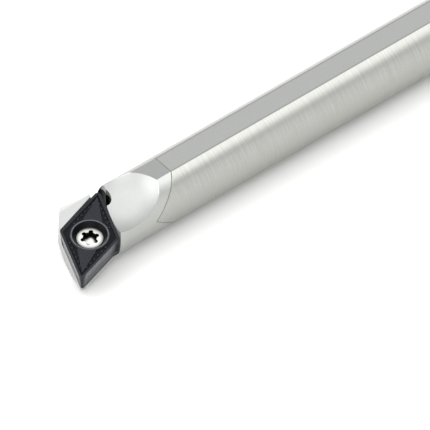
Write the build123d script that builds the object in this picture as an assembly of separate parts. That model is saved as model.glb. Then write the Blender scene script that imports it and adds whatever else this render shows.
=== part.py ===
from build123d import *
import math
import os

# Indexable boring bar: a carbide shank with a steel head brazed to its front end.
# The head carries a rhombic insert, held in its pocket by one countersunk screw.
# Frame: the origin is on the shank's axis at its rear face, +X points to the cutting head,
# +Y points to the side that cuts, and +Z is up, square to the two flats. Millimetres.

# Shank
shank_diameter = 8.0
overall_length = 125.0
top_flat_cut = 0.35
bottom_flat_cut = 0.15
rear_chamfer = 0.5

# Brazed joint: a tongue on the shank seats in a notch in the head
joint_angle = 80.0
joint_tip_setback = 12.35
braze_thickness = 0.1

# Insert: a rhombus with a relief angle on all its flanks
insert_corner_angle = 55.0
inscribed_circle = 6.35
insert_thickness = 2.38
insert_relief = 7.0
insert_nose_radius = 0.4
insert_hole_diameter = 2.8
insert_mouth_diameter = 4.15

# How the insert sits in the head
cutting_radius = 5.8
approach_angle = 107.5
radial_rake = 10.3

# Chip former pressed into the insert's top face
edge_land = 0.3
groove_depth = 0.16
groove_slope = 40.0
boss_diameter = 4.75
breaker_width = 1.1
breaker_setback = 1.1
bump_radius = 0.26
bump_rise = 0.13
bump_inset = 0.6
bump_pitch = 0.75
bumps_per_edge = 6

# Clamping screw with a countersunk head and a six-lobe socket
screw_thread_diameter = 2.5
screw_head_diameter = 3.2
screw_cone_angle = 60.0
screw_head_recess = 0.5
screw_head_rim = 0.08
screw_head_dome = 0.12
screw_tip_gap = 0.15
screw_tip_chamfer = 0.3
socket_width = 2.3
socket_valley_width = 1.66
socket_lobe_radius = 0.27
socket_depth = 0.75
thread_clearance = 0.03

# Head
barrel_undersize = 0.03
barrel_growth = 0.06
gullet_radius = 6.1
gullet_side = 2.15
gullet_floor_height = 0.72
gullet_start_ahead = 0.2
land_fall = 1.5
land_wall_slope = 45.0
corner_cover = 0.35
edge_overhang = 0.05
nose_overhang = 0.2
seat_rim = 0.15
rim_height = 0.3
relief_hole_radius = 0.95
relief_hole_inset = 0.85
relief_lobe_radius = 1.0
relief_lobe_distance = 1.85
relief_lobe_inset = 0.1
relief_floor_depth = 0.35
bevel_turn = 33.6
bevel_lean = 9.1
swell_start_setback = 6.7
swell_length = 2.6
swell_growth = 0.2
swell_side_shift = 0.1
swell_up_shift = 0.17

# Values worked out from the sizes above
shank_radius = shank_diameter / 2
top_flat_height = shank_radius - top_flat_cut
bottom_flat_depth = shank_radius - bottom_flat_cut
half_corner = math.radians(insert_corner_angle / 2)
insert_side = inscribed_circle / math.sin(math.radians(insert_corner_angle))
long_half = insert_side * math.cos(half_corner)
short_half = insert_side * math.sin(half_corner)
flank_slope = math.tan(math.radians(insert_relief))
cone_slope = math.tan(math.radians(screw_cone_angle / 2))
joint_slope = 1 / math.tan(math.radians(joint_angle / 2))
screw_rim_level = -screw_head_recess - screw_head_dome - screw_head_rim
braze_shift = braze_thickness / math.sin(math.radians(joint_angle / 2))
joint_tip = overall_length - joint_tip_setback
barrel_rear = joint_tip - joint_slope * shank_radius
barrel_front = overall_length - swell_start_setback
barrel_rear_radius = shank_radius - barrel_undersize
barrel_front_radius = barrel_rear_radius + barrel_growth
nose_direction = 180 - approach_angle - insert_corner_angle / 2
rake = math.radians(radial_rake)
reach = 3 * shank_diameter
clear_height = shank_diameter

# The insert's sharp corner lies past its rounded nose, which sets the length and cutting radius
nose_centre_distance = insert_nose_radius / math.sin(half_corner)
overhang_x = nose_centre_distance * math.cos(math.radians(nose_direction)) - insert_nose_radius
overhang_y = nose_centre_distance * math.sin(math.radians(nose_direction)) - insert_nose_radius
sharp_corner = Vector(
    overall_length + overhang_x,
    cutting_radius + overhang_y * math.cos(rake),
    0,
)

# The insert's top face leans towards the cutting side. In the insert's own frame the origin is
# the middle of that face, x points to the cutting corner, and z stands on the face.
rake_normal = Vector(0, math.sin(rake), math.cos(rake))
rake_plane = Plane(origin=sharp_corner, x_dir=(1, 0, 0), z_dir=rake_normal)
insert_place = rake_plane.location * Rotation(0, 0, nose_direction) * Pos(-long_half, 0, 0)


def world(x, y, z):
    """A point of the insert's frame, in the bar's frame."""
    return (insert_place * Pos(x, y, z)).position


def in_front_of(origin, direction):
    """Everything near the head on the side of a plane that its normal points to."""
    plane = Plane(origin=origin, z_dir=direction)
    return plane.location * Box(
        4 * reach, 4 * reach, reach, align=(Align.CENTER, Align.CENTER, Align.MIN)
    )


def rhombus(inset):
    """The insert's outline with sharp corners, moved inward by an inset."""
    long_reach = long_half - inset / math.sin(half_corner)
    short_reach = short_half - inset / math.cos(half_corner)
    corners = [(long_reach, 0), (0, short_reach), (-long_reach, 0), (0, -short_reach)]
    return make_face(Polyline(*corners, close=True))


def across(start):
    """The plane square to the bar at a place on its axis, with +Y to the right and +Z up."""
    return Plane(origin=(start, 0, 0), x_dir=(0, 1, 0), z_dir=(1, 0, 0))


def between_flats(start, end):
    """A block between the levels of the two flats."""
    height = top_flat_height + bottom_flat_depth
    middle = (top_flat_height - bottom_flat_depth) / 2
    return Pos((start + end) / 2, 0, middle) * Box(end - start, reach, height)


def round_bar(start, end):
    """The round bar between two places on its axis, before its flats are ground."""
    return extrude(across(start) * Circle(shank_radius), amount=end - start)


def tongue(tip):
    """The wedge of the brazed joint with its edge at a place on the bar's axis, and all behind it."""
    tail = tip - joint_slope * shank_diameter
    outline = Polyline(
        (tip, 0),
        (tail, shank_diameter),
        (-shank_diameter, shank_diameter),
        (-shank_diameter, -shank_diameter),
        (tail, -shank_diameter),
        close=True,
    )
    return extrude(Plane.XZ * make_face(outline), amount=shank_diameter, both=True)


def make_shank():
    """Round carbide bar with two flats, a chamfered rear end and a tongue at its front."""
    bar = round_bar(0, joint_tip)
    rear_edge = bar.edges().group_by(Axis.X)[0]
    bar = chamfer(rear_edge, rear_chamfer)
    bar = bar & between_flats(0, joint_tip)
    return bar & tongue(joint_tip)


def barrel():
    """The round body behind the head's swell, just under the shank's size at the joint."""
    rear_circle = across(barrel_rear) * Circle(barrel_rear_radius)
    front_circle = across(barrel_front) * Circle(barrel_front_radius)
    return loft([rear_circle, front_circle], ruled=True)


def make_braze_joint():
    """Thin layer of filler metal in the joint, ground flush with the head."""
    front = joint_tip + braze_shift
    layer = barrel() & between_flats(barrel_rear, front)
    return layer & tongue(front) - tongue(joint_tip)


def swollen_end(front):
    """The head's front end, which grows a little towards the side away from the cut."""
    start = across(barrel_front)
    end = across(barrel_front + swell_length)
    grown = end * Pos(-swell_side_shift, swell_up_shift) * Circle(shank_radius + swell_growth)
    neck = loft([start * Circle(barrel_front_radius), grown])
    return neck + extrude(grown, amount=front - barrel_front - swell_length)


def nose_support():
    """The lobe under the insert's cutting corner, from the round bar out to a thin rim."""
    seat = -insert_thickness
    inset = flank_slope * insert_thickness - seat_rim
    corner = world(long_half - inset / math.sin(half_corner), 0, seat)
    side = world(0, short_half - inset / math.cos(half_corner), seat)
    along = side - corner
    outward = along.cross(Vector(0, 0, 1))
    low = corner - Vector(0, 0, rim_height)
    tangent = math.atan2(low.Z, low.Y) - math.acos(shank_radius / math.hypot(low.Y, low.Z))
    slant = Vector(0, -math.sin(tangent), math.cos(tangent))
    down = along.cross(slant)
    block = Pos(sharp_corner.X, 0, 0) * Box(
        2 * insert_side, 2 * shank_diameter, shank_diameter, align=(Align.CENTER, Align.MIN, Align.MAX)
    )
    block = block - in_front_of(corner, outward)
    return block - in_front_of(low, down)


def front_cuts():
    """Front face beside the leading edge, the bevel at its far corner, and the blunt nose."""
    far_corner = world(0, -short_half, 0)
    edge = sharp_corner - far_corner
    forward = Vector(edge.Y, -edge.X, 0).normalized()
    turn = math.radians(bevel_turn)
    lean = math.radians(bevel_lean)
    aside = Vector(
        math.cos(turn) * math.cos(lean),
        -math.sin(turn) * math.cos(lean),
        math.sin(lean),
    )
    tip = world(long_half - nose_centre_distance + insert_nose_radius - nose_overhang, 0, 0)
    face = in_front_of(sharp_corner - forward * edge_overhang, forward)
    bevel = in_front_of(far_corner - aside * edge_overhang, aside)
    return [face, bevel, in_front_of(tip, tip - world(0, 0, 0))]


def gullet():
    """Chip space: a ball-shaped bowl behind the insert, and a land beside it that falls to the front."""
    inner_corner = world(-long_half, 0, 0)
    bowl = Pos(
        inner_corner.X + gullet_start_ahead, gullet_side, gullet_floor_height + gullet_radius
    ) * Rotation(90, 0, 0) * Sphere(gullet_radius)
    fall = math.radians(land_fall)
    level = rake_normal * math.cos(fall) + Vector(math.sin(fall), 0, 0)
    rear_edge = world(0, short_half, 0) - inner_corner
    forward = Vector(rear_edge.Y, -rear_edge.X, 0).normalized()
    slope = math.radians(land_wall_slope)
    wall = forward * math.sin(slope) + Vector(0, 0, math.cos(slope))
    corner = inner_corner + Vector(0, 0, corner_cover)
    return bowl + (in_front_of(corner, level) & in_front_of(corner, wall))


def pocket():
    """Room for the insert: a flat seat and two walls with the slope of its flanks."""
    rise = clear_height
    corner = -long_half - rise * flank_slope / math.sin(half_corner)
    far = 2 * insert_side
    outline = Polyline(
        (corner, 0),
        (corner + far * math.cos(half_corner), far * math.sin(half_corner)),
        (corner + 2 * far * math.cos(half_corner), 0),
        (corner + far * math.cos(half_corner), -far * math.sin(half_corner)),
        close=True,
    )
    start = insert_place * Pos(0, 0, rise)
    return extrude(start * make_face(outline), amount=-(rise + insert_thickness), taper=insert_relief)


def corner_relief():
    """Round relief at the pocket's inner corner, with a second lobe along its rear wall."""
    depth = insert_thickness + relief_floor_depth
    height = depth + clear_height
    align = (Align.CENTER, Align.CENTER, Align.MIN)
    at_corner = Pos(relief_hole_inset - long_half, 0, -depth) * Cylinder(
        relief_hole_radius, height, align=align
    )
    lobe_x = relief_lobe_distance * math.cos(half_corner) + relief_lobe_inset * math.sin(half_corner)
    lobe_y = relief_lobe_distance * math.sin(half_corner) - relief_lobe_inset * math.cos(half_corner)
    at_wall = Pos(lobe_x - long_half, lobe_y, -depth) * Cylinder(
        relief_lobe_radius, height, align=align
    )
    return insert_place * (at_corner + at_wall)


def screw_reach():
    """Length along the screw's axis from the insert's top face to the lower flat."""
    return (world(0, 0, 0).Z + bottom_flat_depth) / math.cos(rake)


def make_head():
    """Steel head with its notch, chip space, pocket, nose support and tapped hole."""
    front = sharp_corner.X + shank_radius
    head = (barrel() + swollen_end(front)) & between_flats(barrel_rear, front)
    head = head + nose_support()
    head = head - tongue(joint_tip + braze_shift)
    head = head - front_cuts()
    head = head - gullet()
    head = head - pocket()
    head = head - corner_relief()
    hole = Cylinder(screw_thread_diameter / 2 + thread_clearance, 4 * insert_thickness + reach)
    return head - insert_place * hole


def chip_former():
    """What is pressed out of the insert's top face: a groove inside the edges, round a boss."""
    outline = rhombus(edge_land)
    groove = extrude(outline, amount=-groove_depth, taper=groove_slope)
    boss = Pos(0, 0, -groove_depth) * Cylinder(
        boss_diameter / 2, groove_depth, align=(Align.CENTER, Align.CENTER, Align.MIN)
    )
    tongue_length = long_half - boss_diameter / 2 - breaker_setback
    breakers = Compound(
        [
            Rotation(0, 0, turn)
            * Pos(boss_diameter / 2, 0, -groove_depth)
            * breaker(tongue_length)
            for turn in (0, 180)
        ]
    )
    return groove - boss - breakers - edge_bumps()


def breaker(length):
    """A pointed chip breaker that runs from the boss towards a sharp corner."""
    outline = Polyline(
        (-breaker_width, breaker_width),
        (0, breaker_width),
        (length, 0),
        (0, -breaker_width),
        (-breaker_width, -breaker_width),
        close=True,
    )
    return extrude(make_face(outline), amount=groove_depth)


def edge_bumps():
    """A row of low domes in the groove along each edge."""
    middle_x = long_half / 2
    middle_y = short_half / 2
    inward = bump_inset
    centre_level = bump_rise - groove_depth - bump_radius
    bumps = []
    for side_x, side_y in ((1, 1), (-1, 1), (-1, -1), (1, -1)):
        for index in range(bumps_per_edge):
            shift = (index - (bumps_per_edge - 1) / 2) * bump_pitch
            x = side_x * (middle_x - inward * math.sin(half_corner) + shift * math.cos(half_corner))
            y = side_y * (middle_y - inward * math.cos(half_corner) - shift * math.sin(half_corner))
            bumps.append(Pos(x, y, centre_level) * Sphere(bump_radius))
    return Compound(bumps)


def make_insert():
    """Cutting insert: a rhombic plate with relieved flanks, a chip former and a countersunk hole."""
    outline = fillet(rhombus(0).vertices(), insert_nose_radius)
    plate = extrude(outline, amount=-insert_thickness, taper=insert_relief)
    plate = plate - chip_former()
    hole_radius = insert_hole_diameter / 2
    head_radius = screw_head_diameter / 2
    rim = screw_rim_level
    outline = Polyline(
        (0, insert_thickness),
        (insert_mouth_diameter / 2, insert_thickness),
        (insert_mouth_diameter / 2, 0),
        (head_radius, rim),
        (hole_radius, rim - (head_radius - hole_radius) / cone_slope),
        (hole_radius, -2 * insert_thickness),
        (0, -2 * insert_thickness),
        close=True,
    )
    hole = revolve(Plane.XZ * make_face(outline), Axis.Z)
    return insert_place * (plate - hole)


def socket():
    """Six-lobe socket in the screw's head."""
    lobe_centre = socket_width / 2 - socket_lobe_radius
    outline = Circle(socket_valley_width / 2)
    outline += PolarLocations(lobe_centre, 6) * Circle(socket_lobe_radius)
    return extrude(outline, amount=-socket_depth)


def make_clamp_screw():
    """Countersunk screw that pulls the insert into its pocket; its thread is left plain."""
    thread_radius = screw_thread_diameter / 2
    head_radius = screw_head_diameter / 2
    top = -screw_head_recess
    rim = screw_rim_level
    neck = rim - (head_radius - thread_radius) / cone_slope
    tip = screw_tip_gap - screw_reach()
    edge = top - screw_head_dome
    dome = ThreePointArc(
        (0, top), (head_radius / 2, top - screw_head_dome / 4), (head_radius, edge)
    )
    outline = dome + Polyline(
        (head_radius, edge),
        (head_radius, rim),
        (thread_radius, neck),
        (thread_radius, tip + screw_tip_chamfer),
        (thread_radius - screw_tip_chamfer, tip),
        (0, tip),
        (0, top),
    )
    body = revolve(Plane.XZ * make_face(outline), Axis.Z)
    return insert_place * (body - Pos(0, 0, top) * socket())


parts = {
    "shank": make_shank(),
    "braze_joint": make_braze_joint(),
    "head": make_head(),
    "insert": make_insert(),
    "clamp_screw": make_clamp_screw(),
}

os.makedirs("parts", exist_ok=True)
for name, solid in parts.items():
    export_step(solid, f"parts/{name}.step")
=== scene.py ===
import logging
import math
from dataclasses import dataclass
from enum import Enum

import bpy
from mathutils import Matrix, Vector


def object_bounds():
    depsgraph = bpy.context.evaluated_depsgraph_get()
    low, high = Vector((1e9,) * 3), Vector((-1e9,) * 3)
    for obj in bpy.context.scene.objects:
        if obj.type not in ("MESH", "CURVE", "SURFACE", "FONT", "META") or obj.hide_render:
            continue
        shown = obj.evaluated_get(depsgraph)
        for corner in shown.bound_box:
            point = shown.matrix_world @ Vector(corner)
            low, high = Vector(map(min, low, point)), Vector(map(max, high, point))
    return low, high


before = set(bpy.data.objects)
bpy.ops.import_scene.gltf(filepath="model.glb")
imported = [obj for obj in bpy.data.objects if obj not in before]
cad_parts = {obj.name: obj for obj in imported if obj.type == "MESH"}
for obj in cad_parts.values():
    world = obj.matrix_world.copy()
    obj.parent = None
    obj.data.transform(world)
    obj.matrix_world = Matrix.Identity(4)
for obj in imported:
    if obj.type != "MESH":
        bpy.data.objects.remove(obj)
cad_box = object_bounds()

# An indexable boring bar: a carbide shank, a steel head brazed to it, and a coated carbide
# insert held by one screw. Lengths are in metres where a value is named for the scene, and in
# millimetres where its name ends in _mm.

MM = 0.001
# Between these levels lies most of what a noise pattern gives.
PATTERN_START = 0.3
PATTERN_END = 0.7
# The mix node's inputs for two numbers and for two colours, and its colour output.
FIRST_NUMBER = 2
SECOND_NUMBER = 3
FIRST_COLOUR = 6
SECOND_COLOUR = 7
MIXED_COLOUR = 2
log = logging.getLogger("boring_bar")


class Side(Enum):
    """Where a soft light stands round the bar."""

    FRONT = "front"
    CUTTING = "cutting side"


def linear(code: str) -> tuple[float, float, float, float]:
    """Turns an sRGB colour into the linear values that a shader takes.

    Args:
        code: The colour as six hexadecimal digits, with or without a leading hash.

    Returns:
        Red, green and blue in linear light, and an alpha of one.
    """
    digits = code.lstrip("#")
    channels = [int(digits[place : place + 2], 16) / 255 for place in (0, 2, 4)]
    red, green, blue = (
        value / 12.92 if value <= 0.04045 else ((value + 0.055) / 1.055) ** 2.4
        for value in channels
    )
    return red, green, blue, 1.0


def add(
    tree: bpy.types.NodeTree,
    kind: str,
    links: dict | None = None,
    values: dict | None = None,
    **settings,
) -> bpy.types.Node:
    """Adds a node to a tree, with its settings, fixed values and links.

    Args:
        tree: The tree that takes the node.
        kind: The node's type name.
        links: The socket that feeds each input, by the input's name or number.
        values: The fixed value of each input, by the input's name or number.
        settings: The node's own properties.

    Returns:
        The new node.
    """
    node = tree.nodes.new(kind)
    for name, value in settings.items():
        setattr(node, name, value)
    for key, value in (values or {}).items():
        node.inputs[key].default_value = value
    for key, socket in (links or {}).items():
        tree.links.new(socket, node.inputs[key])
    return node


def calculate(
    tree: bpy.types.NodeTree, operation: str, *terms: bpy.types.NodeSocket | float
) -> bpy.types.NodeSocket:
    """Works out a number from sockets and fixed numbers.

    Args:
        tree: The tree that takes the node.
        operation: The kind of sum, such as ADD or MAXIMUM.
        terms: What goes in, in order.

    Returns:
        The socket that carries the result.
    """
    numbers = {place: term for place, term in enumerate(terms) if isinstance(term, float)}
    sockets = {place: term for place, term in enumerate(terms) if place not in numbers}
    return add(tree, "ShaderNodeMath", sockets, numbers, operation=operation).outputs[0]


def step(
    tree: bpy.types.NodeTree, value: bpy.types.NodeSocket, low: float, high: float
) -> bpy.types.NodeSocket:
    """Tells how far a value has gone from one level to another, with soft ends.

    Args:
        tree: The tree that takes the node.
        value: The socket that carries the value.
        low: The level that gives 0.
        high: The level that gives 1.

    Returns:
        The socket that carries the share, from 0 to 1.
    """
    levels = {"From Min": low, "From Max": high}
    ramp = add(
        tree, "ShaderNodeMapRange", {"Value": value}, levels, interpolation_type="SMOOTHSTEP"
    )
    return ramp.outputs[0]


def blend(
    tree: bpy.types.NodeTree,
    share: bpy.types.NodeSocket,
    first: bpy.types.NodeSocket | tuple[float, ...],
    second: bpy.types.NodeSocket | tuple[float, ...],
) -> bpy.types.NodeSocket:
    """Goes from one colour to another.

    Args:
        tree: The tree that takes the node.
        share: How much of the second colour there is.
        first: The colour at a share of 0.
        second: The colour at a share of 1.

    Returns:
        The socket that carries the colour.
    """
    links = {"Factor": share}
    values = {}
    for place, colour in ((FIRST_COLOUR, first), (SECOND_COLOUR, second)):
        (values if isinstance(colour, tuple) else links)[place] = colour
    return add(tree, "ShaderNodeMix", links, values, data_type="RGBA").outputs[MIXED_COLOUR]


def noise(
    tree: bpy.types.NodeTree,
    point: bpy.types.NodeSocket,
    size: float,
    detail: float = 3.0,
    roughness: float = 0.5,
) -> bpy.types.NodeSocket:
    """Makes an uneven pattern.

    Args:
        tree: The tree that takes the node.
        point: The point that is shaded.
        size: The size of the pattern's largest forms, in the point's unit.
        detail: How many finer layers it has.
        roughness: How strong the finer layers are.

    Returns:
        The socket that carries the pattern.
    """
    values = {"Scale": 1 / size, "Detail": detail, "Roughness": roughness}
    return add(tree, "ShaderNodeTexNoise", {"Vector": point}, values).outputs[0]


def ranged(
    tree: bpy.types.NodeTree,
    value: bpy.types.NodeSocket,
    low: float,
    high: float,
    start: float = 0.0,
    end: float = 1.0,
) -> bpy.types.NodeSocket:
    """Carries a value over to another range, in a straight line.

    Args:
        tree: The tree that takes the node.
        value: The socket that carries the value.
        low: The result at the start of the value's range.
        high: The result at its end.
        start: Where the value's range starts.
        end: Where it ends.

    Returns:
        The socket that carries the result.
    """
    levels = {"From Min": start, "From Max": end, "To Min": low, "To Max": high}
    return add(tree, "ShaderNodeMapRange", {"Value": value}, levels).outputs[0]


def multiplied(
    tree: bpy.types.NodeTree, vector: bpy.types.NodeSocket, factor: bpy.types.NodeSocket
) -> bpy.types.NodeSocket:
    """Multiplies a colour or a point by one number.

    Args:
        tree: The tree that takes the node.
        vector: The socket that carries the colour or point.
        factor: The socket that carries the number.

    Returns:
        The socket that carries the result.
    """
    links = {0: vector, "Scale": factor}
    return add(tree, "ShaderNodeVectorMath", links, operation="SCALE").outputs[0]


def surface(
    tree: bpy.types.NodeTree,
    shader: bpy.types.Node,
    colour: bpy.types.NodeSocket,
    roughness: bpy.types.NodeSocket | float,
    relief: bpy.types.NodeSocket,
    strength: float,
    depth_mm: float,
    metallic: float = 1.0,
) -> None:
    """Puts a metal's colour, roughness and fine relief on its shader.

    Args:
        tree: The tree that takes the bump node.
        shader: The surface shader.
        colour: The socket that carries the colour.
        roughness: The roughness, fixed or from a socket.
        relief: The socket that carries the relief's height.
        strength: How strongly the relief tilts the surface.
        depth_mm: The relief's depth.
        metallic: How much of the surface is bare metal.
    """
    values = {"Strength": strength, "Distance": depth_mm * MM}
    bump = add(tree, "ShaderNodeBump", {"Height": relief}, values)
    shader.inputs["Metallic"].default_value = metallic
    if isinstance(roughness, float):
        shader.inputs["Roughness"].default_value = roughness
    else:
        tree.links.new(roughness, shader.inputs["Roughness"])
    tree.links.new(colour, shader.inputs["Base Color"])
    tree.links.new(bump.outputs[0], shader.inputs["Normal"])


def in_millimetres(
    tree: bpy.types.NodeTree, place: bpy.types.Node
) -> tuple[bpy.types.NodeSocket, bpy.types.NodeSocket, bpy.types.NodeSocket, bpy.types.NodeSocket]:
    """Gives the point that is shaded, in the bar's frame.

    Args:
        tree: The tree that takes the nodes.
        place: The node that carries the piece's coordinates.

    Returns:
        The point as one vector, and its x, y and z.
    """
    point = add(
        tree,
        "ShaderNodeVectorMath",
        {0: place.outputs["Object"]},
        {"Scale": 1 / MM},
        operation="SCALE",
    ).outputs[0]
    parts = add(tree, "ShaderNodeSeparateXYZ", {0: point}).outputs
    return point, parts["X"], parts["Y"], parts["Z"]


@dataclass(frozen=True)
class InsertPlace:
    """Where the insert sits, worked out from the sizes that drive the head.

    In the insert's own frame the origin is the middle of its top face, u points to the cutting
    corner, v along the short diagonal, and w stands on the face.
    """

    corner_angle: float = math.radians(55.0)
    inscribed_radius_mm: float = 3.175
    nose_radius_mm: float = 0.4
    length_mm: float = 125.0
    cutting_radius_mm: float = 5.8
    approach_angle: float = math.radians(107.5)
    rake: float = math.radians(10.3)

    @property
    def direction(self) -> float:
        """The turn of the long diagonal from the bar's axis."""
        return math.pi - self.approach_angle - self.corner_angle / 2

    @property
    def half_corner(self) -> float:
        """Half of the cutting corner's angle."""
        return self.corner_angle / 2

    @property
    def long_half_mm(self) -> float:
        """Half of the long diagonal."""
        return self.inscribed_radius_mm / math.sin(self.half_corner)

    @property
    def along(self) -> Vector:
        """The direction from the middle to the cutting corner.

        Returns:
            A vector one unit long, in the bar's frame.
        """
        turn = self.direction
        flat = math.sin(turn)
        return Vector((math.cos(turn), flat * math.cos(self.rake), -flat * math.sin(self.rake)))

    @property
    def up(self) -> Vector:
        """The direction that stands on the top face."""
        return Vector((0.0, math.sin(self.rake), math.cos(self.rake)))

    @property
    def aside(self) -> Vector:
        """The direction of the short diagonal."""
        return self.up.cross(self.along)

    @property
    def middle_mm(self) -> Vector:
        """The middle of the top face, worked out from where the cutting corner has to be.

        Returns:
            The point in the bar's frame, in millimetres.
        """
        reach = self.nose_radius_mm / math.sin(self.half_corner)
        over_x = reach * math.cos(self.direction) - self.nose_radius_mm
        over_y = reach * math.sin(self.direction) - self.nose_radius_mm
        corner = Vector(
            (
                self.length_mm + over_x,
                self.cutting_radius_mm + over_y * math.cos(self.rake),
                0.0,
            )
        )
        return corner - self.along * self.long_half_mm

    def coordinates(
        self, tree: bpy.types.NodeTree, point: bpy.types.NodeSocket
    ) -> list[bpy.types.NodeSocket]:
        """Turns a point of the bar's frame into the insert's own frame.

        Args:
            tree: The tree that takes the nodes.
            point: The point in millimetres.

        Returns:
            The sockets that carry u, v and w.
        """
        offset = add(
            tree, "ShaderNodeVectorMath", {0: point}, {1: self.middle_mm}, operation="SUBTRACT"
        ).outputs[0]
        return [
            add(
                tree, "ShaderNodeVectorMath", {0: offset}, {1: axis}, operation="DOT_PRODUCT"
            ).outputs["Value"]
            for axis in (self.along, self.aside, self.up)
        ]

    def distance_from(
        self,
        tree: bpy.types.NodeTree,
        across: list[bpy.types.NodeSocket],
        u_mm: float = 0.0,
        v_mm: float = 0.0,
    ) -> bpy.types.NodeSocket:
        """Measures how far a point lies from an axis that is square to the insert's face.

        Args:
            tree: The tree that takes the nodes.
            across: The sockets that carry u and v.
            u_mm: The axis's place along the long diagonal.
            v_mm: The axis's place along the short diagonal.

        Returns:
            The socket that carries the distance in millimetres.
        """
        squares = []
        for socket, centre in zip(across, (u_mm, v_mm)):
            offset = calculate(tree, "SUBTRACT", socket, centre)
            squares.append(calculate(tree, "MULTIPLY", offset, offset))
        return calculate(tree, "SQRT", calculate(tree, "ADD", *squares))


def new_material(name: str) -> tuple[bpy.types.Material, bpy.types.Node]:
    """Makes an empty node material with one shader on its output.

    Args:
        name: The material's name.

    Returns:
        The material and its surface shader.
    """
    material = bpy.data.materials.new(name)
    material.use_nodes = True
    tree = material.node_tree
    tree.nodes.clear()
    shader = add(tree, "ShaderNodeBsdfPrincipled")
    add(tree, "ShaderNodeOutputMaterial", {"Surface": shader.outputs[0]})
    return material, shader


@dataclass(frozen=True)
class GroundCarbide:
    """Tungsten carbide, round ground and polished, with two flats ground matt.

    The round carries very fine lines round the bar from the grinding wheel and mirrors its
    surroundings softly; the flats have a short dull grain. A thin darker line runs along their
    edges, taken to be where a stone broke them.
    """

    round_colour: str = "#AAABA6"
    flat_colour: str = "#9B9C9A"
    round_roughness: float = 0.22
    flat_roughness: float = 0.5
    flat_half_width_mm: float = 1.636
    edge_line_mm: float = 0.18
    edge_line_shade: float = 0.8
    # The real lines are about 0.02 mm apart, drawn coarser so that they show.
    line_spacing_mm: float = 0.12
    line_waver: float = 0.25
    line_roughness: float = 0.6
    grain_mm: float = 0.09
    grain_detail: float = 4.0
    grain_roughness: float = 0.7
    darkest: float = 0.92
    lightest: float = 1.06
    # How squarely a surface faces up or down: the round beside a flat, and the flat itself.
    round_facing: float = 0.972
    flat_facing: float = 0.985
    edge_softness_mm: float = 0.1
    bump_strength: float = 0.05
    bump_depth_mm: float = 0.01

    def make(self, name: str) -> bpy.types.Material:
        """Makes the material.

        Args:
            name: The material's name.

        Returns:
            The finished material.
        """
        material, shader = new_material(name)
        tree = material.node_tree
        place = add(tree, "ShaderNodeTexCoord")
        point, _, across, _ = in_millimetres(tree, place)
        facing = add(tree, "ShaderNodeSeparateXYZ", {0: place.outputs["Normal"]})
        upright = calculate(tree, "ABSOLUTE", facing.outputs["Z"])
        flat = step(tree, upright, self.round_facing, self.flat_facing)
        lines = add(
            tree,
            "ShaderNodeVectorMath",
            {0: point},
            {1: (1 / self.line_spacing_mm, self.line_waver, self.line_waver)},
            operation="MULTIPLY",
        ).outputs[0]
        grinding = noise(tree, lines, 1.0, roughness=self.line_roughness)
        grain = noise(tree, point, self.grain_mm, self.grain_detail, self.grain_roughness)
        patterns = {"Factor": flat, FIRST_NUMBER: grinding, SECOND_NUMBER: grain}
        pattern = add(tree, "ShaderNodeMix", patterns).outputs[0]
        colour = blend(tree, flat, linear(self.round_colour), linear(self.flat_colour))
        grained = ranged(tree, pattern, self.darkest, self.lightest, PATTERN_START, PATTERN_END)
        line_start = self.flat_half_width_mm - self.edge_line_mm
        from_middle = calculate(tree, "ABSOLUTE", across)
        edge = step(tree, from_middle, line_start - self.edge_softness_mm, line_start)
        line = calculate(tree, "MULTIPLY", edge, flat)
        darkening = calculate(tree, "MULTIPLY_ADD", line, self.edge_line_shade - 1.0, 1.0)
        toned = multiplied(tree, colour, calculate(tree, "MULTIPLY", grained, darkening))
        roughness = ranged(tree, flat, self.round_roughness, self.flat_roughness)
        surface(
            tree, shader, toned, roughness, pattern, self.bump_strength, self.bump_depth_mm
        )
        return material


@dataclass(frozen=True)
class BrazeAlloy:
    """Silver brazing alloy, melted into the joint, whose dull edge reads as a thin dark line."""

    colour: str = "#8A8A86"
    dark_colour: str = "#72726E"
    roughness: float = 0.5
    blotch_mm: float = 0.4

    def make(self, name: str) -> bpy.types.Material:
        """Makes the material.

        Args:
            name: The material's name.

        Returns:
            The finished material.
        """
        material, shader = new_material(name)
        tree = material.node_tree
        place = add(tree, "ShaderNodeTexCoord")
        blotches = add(
            tree,
            "ShaderNodeTexNoise",
            {"Vector": place.outputs["Object"]},
            {"Scale": 1 / (self.blotch_mm * MM), "Detail": 3.0},
        )
        tone = add(tree, "ShaderNodeValToRGB", {"Fac": blotches.outputs[0]})
        tone.color_ramp.elements[0].position = PATTERN_START
        tone.color_ramp.elements[0].color = linear(self.dark_colour)
        tone.color_ramp.elements[1].position = PATTERN_END
        tone.color_ramp.elements[1].color = linear(self.colour)
        shader.inputs["Metallic"].default_value = 1.0
        shader.inputs["Roughness"].default_value = self.roughness
        tree.links.new(tone.outputs[0], shader.inputs["Base Color"])
        return material


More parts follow.
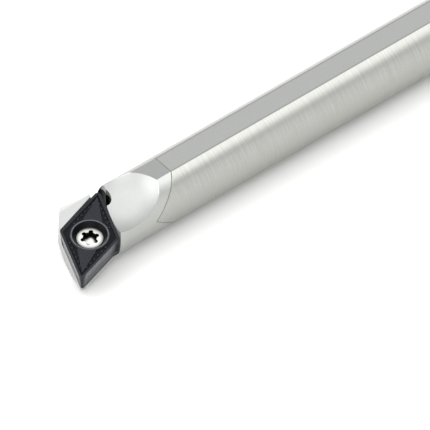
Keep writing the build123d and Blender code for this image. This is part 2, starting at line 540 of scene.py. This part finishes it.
@dataclass(frozen=True)
class MachinedSteel:
    """Hardened tool steel, ground with the shank outside and milled in the pocket and gullet.

    The flats are as matt as the milled parts, and darker. The relief bores at the pocket's inner
    corner are painted nearly black, as painted shade in the deep recess.
    """

    round_colour: str = "#B0B1AE"
    flat_colour: str = "#929392"
    milled_colour: str = "#B2B3B2"
    # Painted shade, nearly black, for the relief bores.
    relief_painted_shade_colour: str = "#1C1C1D"
    round_roughness: float = 0.28
    milled_roughness: float = 0.5
    # Whatever lies about this far from the bar's axis, or farther, counts as ground.
    ground_radius_mm: float = 3.9
    flat_level_mm: float = 3.64
    # Cutter marks are about 0.05 mm apart, drawn coarser so that they show.
    mark_spacing_mm: float = 0.16
    mark_detail: float = 4.0
    mark_roughness: float = 0.65
    darkest: float = 0.94
    lightest: float = 1.04
    # How squarely a surface faces up or down: the round beside a flat, and the flat itself.
    round_facing: float = 0.996
    flat_facing: float = 0.999
    softness_mm: float = 0.02
    bump_strength: float = 0.05
    bump_depth_mm: float = 0.01
    painted_shade_top_mm: float = 0.05
    painted_shade_fade_mm: float = 0.1
    # The relief has one bore at the pocket's corner and one along its rear wall.
    corner_bore_radius_mm: float = 0.95
    corner_bore_inset_mm: float = 0.85
    wall_bore_radius_mm: float = 1.0
    wall_bore_distance_mm: float = 1.85
    wall_bore_inset_mm: float = 0.1
    # The painted shade reaches this far outside a bore, and has faded out at the second distance.
    bore_reach_mm: float = 0.02
    bore_fade_end_mm: float = 0.05

    def relief_bores(self, insert: InsertPlace) -> list[tuple[float, float, float]]:
        """Places the relief's two bores in the insert's frame.

        Args:
            insert: The insert's frame.

        Returns:
            Each bore's u, v and radius, in millimetres.
        """
        cosine = math.cos(insert.half_corner)
        sine = math.sin(insert.half_corner)
        wall_u = self.wall_bore_distance_mm * cosine + self.wall_bore_inset_mm * sine
        wall_v = self.wall_bore_distance_mm * sine - self.wall_bore_inset_mm * cosine
        corner = -insert.long_half_mm
        return [
            (corner + self.corner_bore_inset_mm, 0.0, self.corner_bore_radius_mm),
            (corner + wall_u, wall_v, self.wall_bore_radius_mm),
        ]

    def relief(
        self, tree: bpy.types.NodeTree, point: bpy.types.NodeSocket, insert: InsertPlace
    ) -> bpy.types.NodeSocket:
        """Marks where painted shade goes on the walls and floor of the relief bores, up to the
        insert's top face.

        Args:
            tree: The tree that takes the nodes.
            point: The point in millimetres.
            insert: The insert's frame.

        Returns:
            The socket that carries 1 where the painted shade goes and 0 elsewhere.
        """
        along, aside, above = insert.coordinates(tree, point)
        across = [along, aside]
        shares = []
        for u_mm, v_mm, radius_mm in self.relief_bores(insert):
            distance = insert.distance_from(tree, across, u_mm, v_mm)
            fade_end = radius_mm + self.bore_fade_end_mm
            shares.append(step(tree, distance, fade_end, radius_mm + self.bore_reach_mm))
        below = step(tree, above, self.painted_shade_top_mm + self.painted_shade_fade_mm, self.painted_shade_top_mm)
        return calculate(tree, "MULTIPLY", calculate(tree, "MAXIMUM", *shares), below)

    def make(self, name: str, insert: InsertPlace) -> bpy.types.Material:
        """Makes the material.

        Args:
            name: The material's name.
            insert: The insert's frame, which places the relief.

        Returns:
            The finished material.
        """
        material, shader = new_material(name)
        tree = material.node_tree
        place = add(tree, "ShaderNodeTexCoord")
        point, _, across, height = in_millimetres(tree, place)
        facing = add(tree, "ShaderNodeSeparateXYZ", {0: place.outputs["Normal"]})
        upright = calculate(tree, "ABSOLUTE", facing.outputs["Z"])
        level = step(tree, upright, self.round_facing, self.flat_facing)
        raised = step(
            tree,
            calculate(tree, "ABSOLUTE", height),
            self.flat_level_mm - self.softness_mm,
            self.flat_level_mm,
        )
        flat = calculate(tree, "MULTIPLY", level, raised)
        radius = calculate(
            tree,
            "SQRT",
            calculate(
                tree,
                "ADD",
                calculate(tree, "MULTIPLY", across, across),
                calculate(tree, "MULTIPLY", height, height),
            ),
        )
        ground_start = self.ground_radius_mm - 2 * self.softness_mm
        ground = step(tree, radius, ground_start, self.ground_radius_mm + self.softness_mm)
        grain = noise(tree, point, self.mark_spacing_mm, self.mark_detail, self.mark_roughness)
        colour = blend(tree, ground, linear(self.milled_colour), linear(self.round_colour))
        colour = blend(tree, flat, colour, linear(self.flat_colour))
        # Painted shade: the relief bores are coloured nearly black, as the deep recess lies in
        # shade.
        relief = self.relief(tree, point, insert)
        colour = blend(tree, relief, colour, linear(self.relief_painted_shade_colour))
        shade = ranged(tree, grain, self.darkest, self.lightest, PATTERN_START, PATTERN_END)
        toned = multiplied(tree, colour, shade)
        polished = calculate(tree, "SUBTRACT", ground, flat)
        roughness = ranged(tree, polished, self.milled_roughness, self.round_roughness)
        surface(tree, shader, toned, roughness, grain, self.bump_strength, self.bump_depth_mm)
        return material


@dataclass(frozen=True)
class CoatedCarbide:
    """Pressed and sintered carbide under a black hard coating, satin and faintly granular.

    The groove between the raised land, boss and bumps of the top is painted darker, as painted
    shade. The flanks are painted paler in a band below the edges, as a painted highlight, over
    their own darker tone, and painted dark round the nose, as painted shade. The countersink is
    painted darkest, as painted shade, with a painted highlight as a paler line round its mouth.
    """

    top_colour: str = "#27282D"
    groove_painted_shade_colour: str = "#0E0F11"
    flank_highlight_colour: str = "#6C6E72"
    flank_colour: str = "#54565A"
    nose_shade_colour: str = "#1E1F22"
    countersink_shade_colour: str = "#0B0B0D"
    rim_highlight_colour: str = "#5C5D63"
    # How squarely a surface faces up: a flank, and the top.
    flank_facing: float = 0.2
    top_facing: float = 0.6
    groove_depth_mm: float = 0.16
    # The shares of the groove's depth at which the groove's painted shade ends and the raised tone
    # starts.
    groove_shade_end: float = 0.85
    raised_tone_start: float = 0.2
    band_height_mm: float = 1.15
    band_softness_mm: float = 0.05
    nose_start_mm: float = 5.85
    nose_fade_mm: float = 0.15
    roughness: float = 0.4
    metallic: float = 0.85
    mouth_radius_mm: float = 2.075
    mouth_softness_mm: float = 0.03
    rim_width_mm: float = 0.22
    # A share times its rest is a quarter at most, so this brings the painted highlight round the
    # mouth to full strength.
    rim_scale: float = 4.0
    darkest: float = 0.55
    lightest: float = 1.45
    bump_strength: float = 1.0
    bump_depth_mm: float = 0.012
    # The real grain is a few thousandths of a millimetre, drawn coarser so that it shows.
    grain_mm: float = 0.15
    grain_roughness: float = 0.6

    def make(self, name: str, insert: InsertPlace) -> bpy.types.Material:
        """Makes the material.

        Args:
            name: The material's name.
            insert: The insert's frame, which tells its top from its flanks.

        Returns:
            The finished material.
        """
        material, shader = new_material(name)
        tree = material.node_tree
        place = add(tree, "ShaderNodeTexCoord")
        point, _, _, _ = in_millimetres(tree, place)
        facing = add(
            tree,
            "ShaderNodeVectorMath",
            {0: place.outputs["Normal"]},
            {1: insert.up},
            operation="DOT_PRODUCT",
        )
        top = step(tree, facing.outputs["Value"], self.flank_facing, self.top_facing)
        along, aside, above = insert.coordinates(tree, point)
        distance = insert.distance_from(tree, [along, aside])
        # Painted highlight: a paler band below the top edge, over the flank's own darker tone.
        band_foot = -self.band_height_mm
        softness = self.band_softness_mm
        band = step(tree, above, band_foot - softness, band_foot + softness)
        colour = blend(tree, band, linear(self.flank_colour), linear(self.flank_highlight_colour))
        # Painted shade: the flanks are coloured darker round the nose.
        nose = step(tree, along, self.nose_start_mm, self.nose_start_mm + self.nose_fade_mm)
        colour = blend(tree, nose, colour, linear(self.nose_shade_colour))
        # Painted shade: the groove is coloured darker than the raised top.
        groove_foot = -self.groove_depth_mm
        raised = step(
            tree, above, groove_foot * self.groove_shade_end, groove_foot * self.raised_tone_start
        )
        face = blend(tree, raised, linear(self.groove_painted_shade_colour), linear(self.top_colour))
        colour = blend(tree, top, colour, face)
        # Painted shade: the countersink is coloured nearly black.
        mouth = self.mouth_radius_mm
        countersink = step(tree, distance, mouth + self.mouth_softness_mm, mouth)
        colour = blend(tree, countersink, colour, linear(self.countersink_shade_colour))
        # Painted highlight: a paler line round the countersink's mouth.
        rim = step(tree, distance, mouth, mouth + self.rim_width_mm)
        outer_half = calculate(tree, "SUBTRACT", 1.0, rim)
        hump = calculate(tree, "MULTIPLY", rim, outer_half)
        rim_highlight = calculate(tree, "MULTIPLY", hump, self.rim_scale)
        colour = blend(tree, rim_highlight, colour, linear(self.rim_highlight_colour))
        grain = noise(tree, point, self.grain_mm, roughness=self.grain_roughness)
        shade = ranged(tree, grain, self.darkest, self.lightest, PATTERN_START, PATTERN_END)
        toned = multiplied(tree, colour, shade)
        surface(
            tree,
            shader,
            toned,
            self.roughness,
            grain,
            self.bump_strength,
            self.bump_depth_mm,
            self.metallic,
        )
        return material


@dataclass(frozen=True)
class BrightSteel:
    """Cold-formed screw steel with a bright plating; its socket's lobes are painted dark, as
    painted shade.
    """

    colour: str = "#BFC0BC"
    socket_shade_colour: str = "#26251F"
    roughness: float = 0.3
    socket_top_mm: float = -0.56
    socket_bottom_mm: float = -1.4
    bottom_fade_mm: float = 0.05
    socket_floor_radius_mm: float = 0.3
    lobe_radius_mm: float = 0.7
    socket_fade_mm: float = 0.08
    grain_mm: float = 0.12
    bump_strength: float = 0.1
    bump_depth_mm: float = 0.01

    def make(self, name: str, insert: InsertPlace) -> bpy.types.Material:
        """Makes the material.

        Args:
            name: The material's name.
            insert: The insert's frame, which places the socket.

        Returns:
            The finished material.
        """
        material, shader = new_material(name)
        tree = material.node_tree
        place = add(tree, "ShaderNodeTexCoord")
        point, _, _, _ = in_millimetres(tree, place)
        along, aside, above = insert.coordinates(tree, point)
        distance = insert.distance_from(tree, [along, aside])
        # Painted shade: the socket's walls and lobes are coloured dark, away from its floor's
        # middle.
        deep = step(tree, above, self.socket_top_mm, self.socket_top_mm - self.socket_fade_mm)
        outward = step(tree, distance, self.socket_floor_radius_mm, self.lobe_radius_mm)
        bottom_end = self.socket_bottom_mm + self.bottom_fade_mm
        above_bottom = step(tree, above, self.socket_bottom_mm, bottom_end)
        inside = calculate(tree, "MULTIPLY", deep, above_bottom)
        socket = calculate(tree, "MULTIPLY", inside, outward)
        colour = blend(tree, socket, linear(self.colour), linear(self.socket_shade_colour))
        grain = noise(tree, point, self.grain_mm)
        surface(
            tree, shader, colour, self.roughness, grain, self.bump_strength, self.bump_depth_mm
        )
        return material


def dress(node: str, material: bpy.types.Material) -> bpy.types.Object:
    """Gives a piece of the frame one material, in its first slot.

    Args:
        node: The piece's name.
        material: The material that it wears.

    Returns:
        The piece.
    """
    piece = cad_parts[node]
    piece.data.materials.clear()
    piece.data.materials.append(material)
    return piece


@dataclass
class Shank:
    """The carbide shank with its two ground flats."""

    node: str = "shank"
    finish: GroundCarbide = GroundCarbide()

    def dress(self) -> list[bpy.types.Object]:
        """Gives the shank its ground carbide, and returns it."""
        return [dress(self.node, self.finish.make("ground_tungsten_carbide"))]


@dataclass
class Head:
    """The steel head and the brazed joint that holds it on the shank."""

    place: InsertPlace
    node: str = "head"
    joint_node: str = "braze_joint"
    finish: MachinedSteel = MachinedSteel()
    joint_finish: BrazeAlloy = BrazeAlloy()

    def dress(self) -> list[bpy.types.Object]:
        """Gives the head and the joint their finishes.

        Returns:
            The head and the joint.
        """
        head = dress(self.node, self.finish.make("machined_tool_steel", self.place))
        joint = dress(self.joint_node, self.joint_finish.make("silver_braze"))
        return [head, joint]


@dataclass
class CuttingInsert:
    """The coated insert and the screw that clamps it."""

    place: InsertPlace
    node: str = "insert"
    screw_node: str = "clamp_screw"
    finish: CoatedCarbide = CoatedCarbide()
    screw_finish: BrightSteel = BrightSteel()

    def dress(self) -> list[bpy.types.Object]:
        """Gives the insert and its screw their finishes.

        Returns:
            The insert and the screw.
        """
        insert = dress(self.node, self.finish.make("black_coated_carbide", self.place))
        screw = dress(self.screw_node, self.screw_finish.make("bright_screw_steel", self.place))
        return [insert, screw]


# How bright the room looks, by the sine of the height above the horizon.
ROOM_GLOW = {
    0.0: 1.35,
    0.4: 1.28,
    0.6: 1.05,
    0.68: 1.2,
    0.74: 1.55,
    0.79: 1.95,
    0.87: 2.4,
    0.93: 2.35,
    1.0: 1.3,
}


@dataclass(frozen=True)
class SoftLight:
    """One large soft light: the way to it, how far and how large it is, and how bright it looks."""

    direction: Vector
    distance: float
    width: float
    height: float
    brightness: float

    def hang(self, name: str) -> None:
        """Hangs the light, facing the head.

        Args:
            name: The light's name.
        """
        data = bpy.data.lights.new(name, "AREA")
        data.shape = "RECTANGLE"
        data.size = self.width
        data.size_y = self.height
        data.energy = self.brightness * math.pi * self.width * self.height
        light = bpy.data.objects.new(name, data)
        way = self.direction.normalized()
        light.location = Vector((cad_box[1].x, 0.0, 0.0)) + way * self.distance
        light.rotation_euler = way.to_track_quat("Z", "Y").to_euler()
        bpy.context.scene.collection.objects.link(light)


SOFT_LIGHTS = {
    Side.FRONT: SoftLight(
        direction=Vector((0.76, -0.36, 0.28)), distance=1.1, width=1.1, height=0.8, brightness=2.1
    ),
    Side.CUTTING: SoftLight(
        direction=Vector((0.5, 0.8, 0.32)), distance=1.3, width=1.3, height=0.6, brightness=2.0
    ),
}


@dataclass
class Studio:
    """Pale floor, soft light and the camera."""

    floor_size: float = 6.0
    floor_colour: str = "#E0E0DF"
    floor_roughness: float = 0.9
    floor_shine: float = 0.1
    room_strength: float = 2.5
    camera_distance: float = 1.405
    nearest_seen: float = 0.1
    farthest_seen: float = 20.0
    lens_mm: float = 1000.0
    aim_mm: Vector = Vector((105.85, 5.87, -2.01))
    azimuth: float = math.radians(59.76)
    elevation: float = math.radians(42.31)
    roll: float = math.radians(-8.58)

    def build(self) -> None:
        """Makes the floor, the surroundings, the lights and the camera."""
        self.make_floor()
        self.make_surroundings()
        for side, light in SOFT_LIGHTS.items():
            light.hang(f"soft_light_{side.name.lower()}")
        self.make_camera()

    def make_floor(self) -> None:
        """Lays the floor under the lowest point of the bar."""
        bpy.ops.mesh.primitive_plane_add(size=self.floor_size, location=(0, 0, cad_box[0].z))
        floor = bpy.context.object
        floor.name = "floor"
        material, shader = new_material("pale_floor")
        shader.inputs["Base Color"].default_value = linear(self.floor_colour)
        shader.inputs["Roughness"].default_value = self.floor_roughness
        shader.inputs["Specular IOR Level"].default_value = self.floor_shine
        floor.data.materials.append(material)

    def make_surroundings(self) -> None:
        """Makes the white room round the bar, brightest a little below straight overhead."""
        world = bpy.data.worlds.new("white_room")
        bpy.context.scene.world = world
        world.use_nodes = True
        tree = world.node_tree
        tree.nodes.clear()
        direction = add(tree, "ShaderNodeTexCoord")
        parts = add(tree, "ShaderNodeSeparateXYZ", {0: direction.outputs["Generated"]})
        ramp = add(tree, "ShaderNodeValToRGB", {"Fac": parts.outputs["Z"]})
        stops = ramp.color_ramp.elements
        for height, glow in ROOM_GLOW.items():
            stop = stops[0] if height == 0.0 else stops[-1] if height == 1.0 else stops.new(height)
            level = glow / self.room_strength
            stop.color = (level, level, level, 1.0)
        brightness = {"Strength": self.room_strength}
        light = add(tree, "ShaderNodeBackground", {"Color": ramp.outputs[0]}, brightness)
        add(tree, "ShaderNodeOutputWorld", {"Surface": light.outputs[0]})

    def make_camera(self) -> None:
        """Sets the camera at the photograph's angle, far off with a long lens."""
        level = Vector((-math.sin(self.azimuth), math.cos(self.azimuth), 0.0))
        back = Vector(
            (
                math.cos(self.azimuth) * math.cos(self.elevation),
                math.sin(self.azimuth) * math.cos(self.elevation),
                math.sin(self.elevation),
            )
        )
        raised = back.cross(level)
        right = level * math.cos(self.roll) + raised * math.sin(self.roll)
        up = raised * math.cos(self.roll) - level * math.sin(self.roll)
        data = bpy.data.cameras.new("camera")
        data.lens = self.lens_mm
        data.clip_start = self.nearest_seen
        data.clip_end = self.farthest_seen
        camera = bpy.data.objects.new("camera", data)
        bpy.context.scene.collection.objects.link(camera)
        turn = Matrix((right, up, back)).transposed()
        camera.rotation_euler = turn.to_euler()
        camera.location = self.aim_mm * MM + back * self.camera_distance
        bpy.context.scene.camera = camera


def main() -> None:
    """Dresses the pieces of the bar in order, and sets the stage round them."""
    logging.basicConfig(level=logging.INFO, format="%(name)s: %(message)s")
    bpy.context.scene.view_settings.view_transform = "Standard"
    place = InsertPlace()
    for part in (Shank(), Head(place), CuttingInsert(place)):
        for piece in part.dress():
            log.info("%s wears %s", piece.name, piece.data.materials[0].name)
    Studio().build()


if __name__ == "__main__":
    main()
